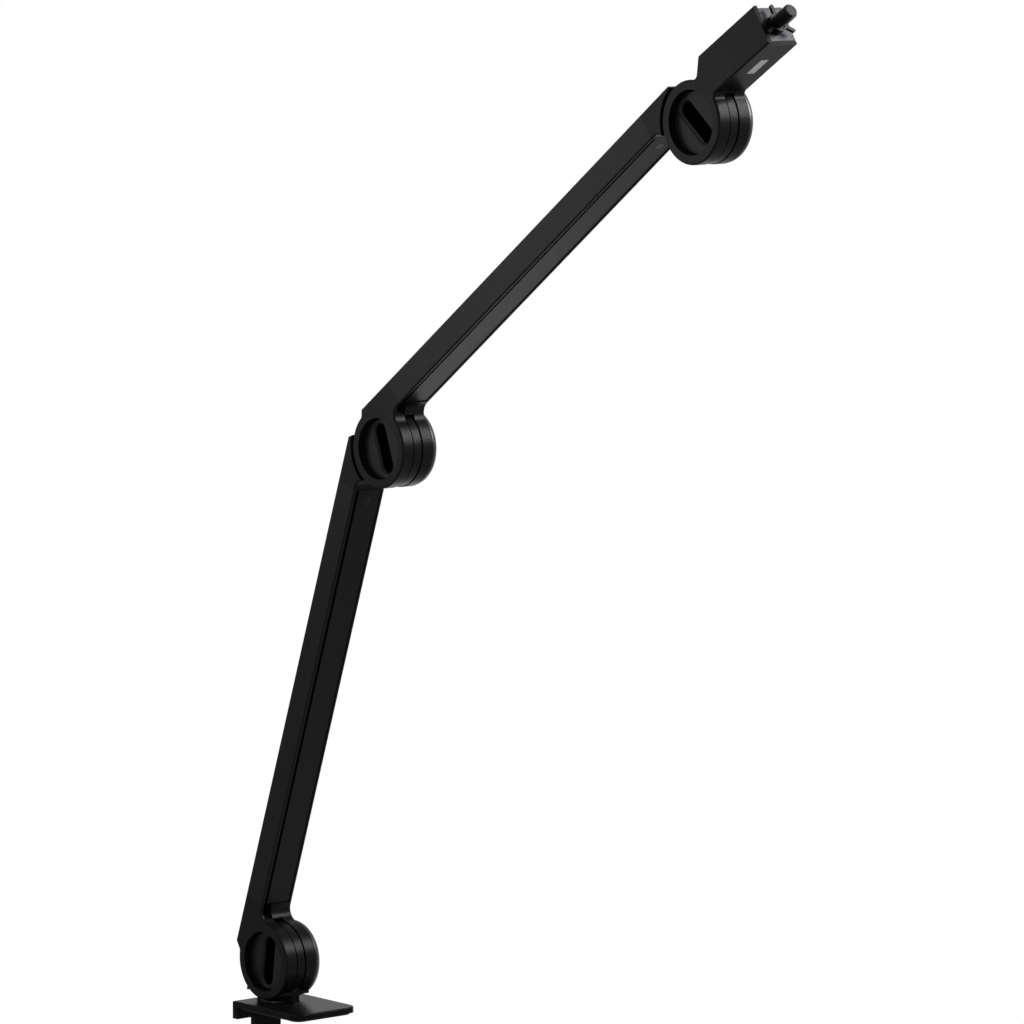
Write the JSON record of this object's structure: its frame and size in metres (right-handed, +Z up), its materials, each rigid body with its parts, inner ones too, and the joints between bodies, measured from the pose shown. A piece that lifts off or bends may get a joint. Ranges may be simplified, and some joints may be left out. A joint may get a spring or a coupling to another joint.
{
  "type": "microphone boom arm",
  "caption": "Desk-clamp microphone boom arm with slotted cable-channel sections, friction hinges with coin-slot knobs, a swivelling pedestal and a head with a threaded microphone stud.",
  "frame": {"origin": "on the swivel axis, in the plane where the clamp's upper pad sits on the desk", "axes": "+Z up, +X over the desk and the way the arm leans, hinge axes along Y with the knobs at -Y"},
  "size_m": [0.5393, 0.053, 0.8183],
  "materials": {
    "powder_coat": "satin black powder coat",
    "clamp_steel": "satin black paint",
    "zinc_steel": "zinc plated",
    "black_steel": "black oxide",
    "satin_plate": "satin",
    "brass": "turned",
    "nylon": "matte",
    "knob_plastic": "matte",
    "cap_plastic": "satin",
    "cover_plastic": "matte",
    "rubber": "matte"
  },
  "bodies": {
    "base": {"clamp_frame": "clamp_steel", "jaw_pad": "rubber", "clamp_nut": "zinc_steel", "swivel_washer": "nylon"},
    "pressure_pad": {"pressure_pad": "zinc_steel", "pressure_pad_rubber": "rubber"},
    "clamp_screw": {"clamp_screw": "zinc_steel", "clamp_hand_knob": "knob_plastic"},
    "pedestal": {"pedestal": "powder_coat", "swivel_screw": "zinc_steel", "shoulder_bush": "brass", "shoulder_friction_discs": "nylon"},
    "lower_arm": {"lower_arm_fork": "powder_coat", "lower_arm_tube": "powder_coat", "lower_arm_tongue": "powder_coat", "lower_arm_cable_cover": "cover_plastic", "lower_arm_tube_screws": "black_steel", "lower_arm_cover_screw": "black_steel", "shoulder_lock_nut": "zinc_steel", "shoulder_cap": "cap_plastic", "elbow_bush": "brass", "elbow_friction_discs": "nylon"},
    "shoulder_knob": {"shoulder_knob": "knob_plastic", "shoulder_bolt": "zinc_steel"},
    "upper_arm": {"upper_arm_fork": "powder_coat", "upper_arm_tube": "powder_coat", "upper_arm_tongue": "powder_coat", "upper_arm_cable_cover": "cover_plastic", "upper_arm_tube_screws": "black_steel", "upper_arm_cover_screw": "black_steel", "elbow_lock_nut": "zinc_steel", "elbow_cap": "cap_plastic", "wrist_bush": "brass", "wrist_friction_discs": "nylon"},
    "elbow_knob": {"elbow_knob": "knob_plastic", "elbow_bolt": "zinc_steel"},
    "head": {"head_body": "powder_coat", "head_end_plate": "satin_plate", "head_inlay": "satin_plate", "mic_stud": "black_steel", "wrist_lock_nut": "zinc_steel", "wrist_cap": "cap_plastic"},
    "wrist_knob": {"wrist_knob": "knob_plastic", "wrist_bolt": "zinc_steel"},
    "stud_lock_nut": {"stud_lock_nut": "black_steel"}
  },
  "joints": [
    {"name": "base_swivel", "type": "hinge", "parent": "base", "child": "pedestal", "pos_m": [0, 0, 0], "axis": [0, 0, 1], "continuous": true},
    {"name": "shoulder", "type": "hinge", "parent": "pedestal", "child": "lower_arm", "pos_m": [0, 0, 0.033], "axis": [0, 1, 0], "range_deg": [-54, 70]},
    {"name": "elbow", "type": "hinge", "parent": "lower_arm", "child": "upper_arm", "pos_m": [0.12497, 0, 0.39186], "axis": [0, 1, 0], "range_deg": [-30, 110]},
    {"name": "wrist", "type": "hinge", "parent": "upper_arm", "child": "head", "pos_m": [0.43083, 0, 0.61736], "axis": [0, 1, 0], "range_deg": [-44, 126]},
    {"name": "shoulder_knob_turn", "type": "hinge", "parent": "lower_arm", "child": "shoulder_knob", "pos_m": [0, 0, 0.033], "axis": [0, 1, 0], "range_deg": [0, 360]},
    {"name": "elbow_knob_turn", "type": "hinge", "parent": "upper_arm", "child": "elbow_knob", "pos_m": [0.12497, 0, 0.39186], "axis": [0, 1, 0], "range_deg": [0, 360]},
    {"name": "wrist_knob_turn", "type": "hinge", "parent": "head", "child": "wrist_knob", "pos_m": [0.43083, 0, 0.61736], "axis": [0, 1, 0], "range_deg": [0, 360]},
    {"name": "stud_nut_turn", "type": "hinge", "parent": "head", "child": "stud_lock_nut", "pos_m": [0.49395, 0, 0.67898], "axis": [0.8415, 0, 0.5402], "range_deg": [0, 360]},
    {"name": "clamp_slide", "type": "slide", "parent": "base", "child": "pressure_pad", "axis": [0, 0, 1], "range_m": [-0.01, 0.035]},
    {"name": "clamp_screw_turn", "type": "hinge", "parent": "pressure_pad", "child": "clamp_screw", "pos_m": [0.009, 0, 0], "axis": [0, 0, 1], "range_deg": [-1200, 4200]}
  ],
  "couplings": [
    {"joint": "clamp_screw_turn", "follows": "clamp_slide", "rad_per_m": 2094.4}
  ]
}
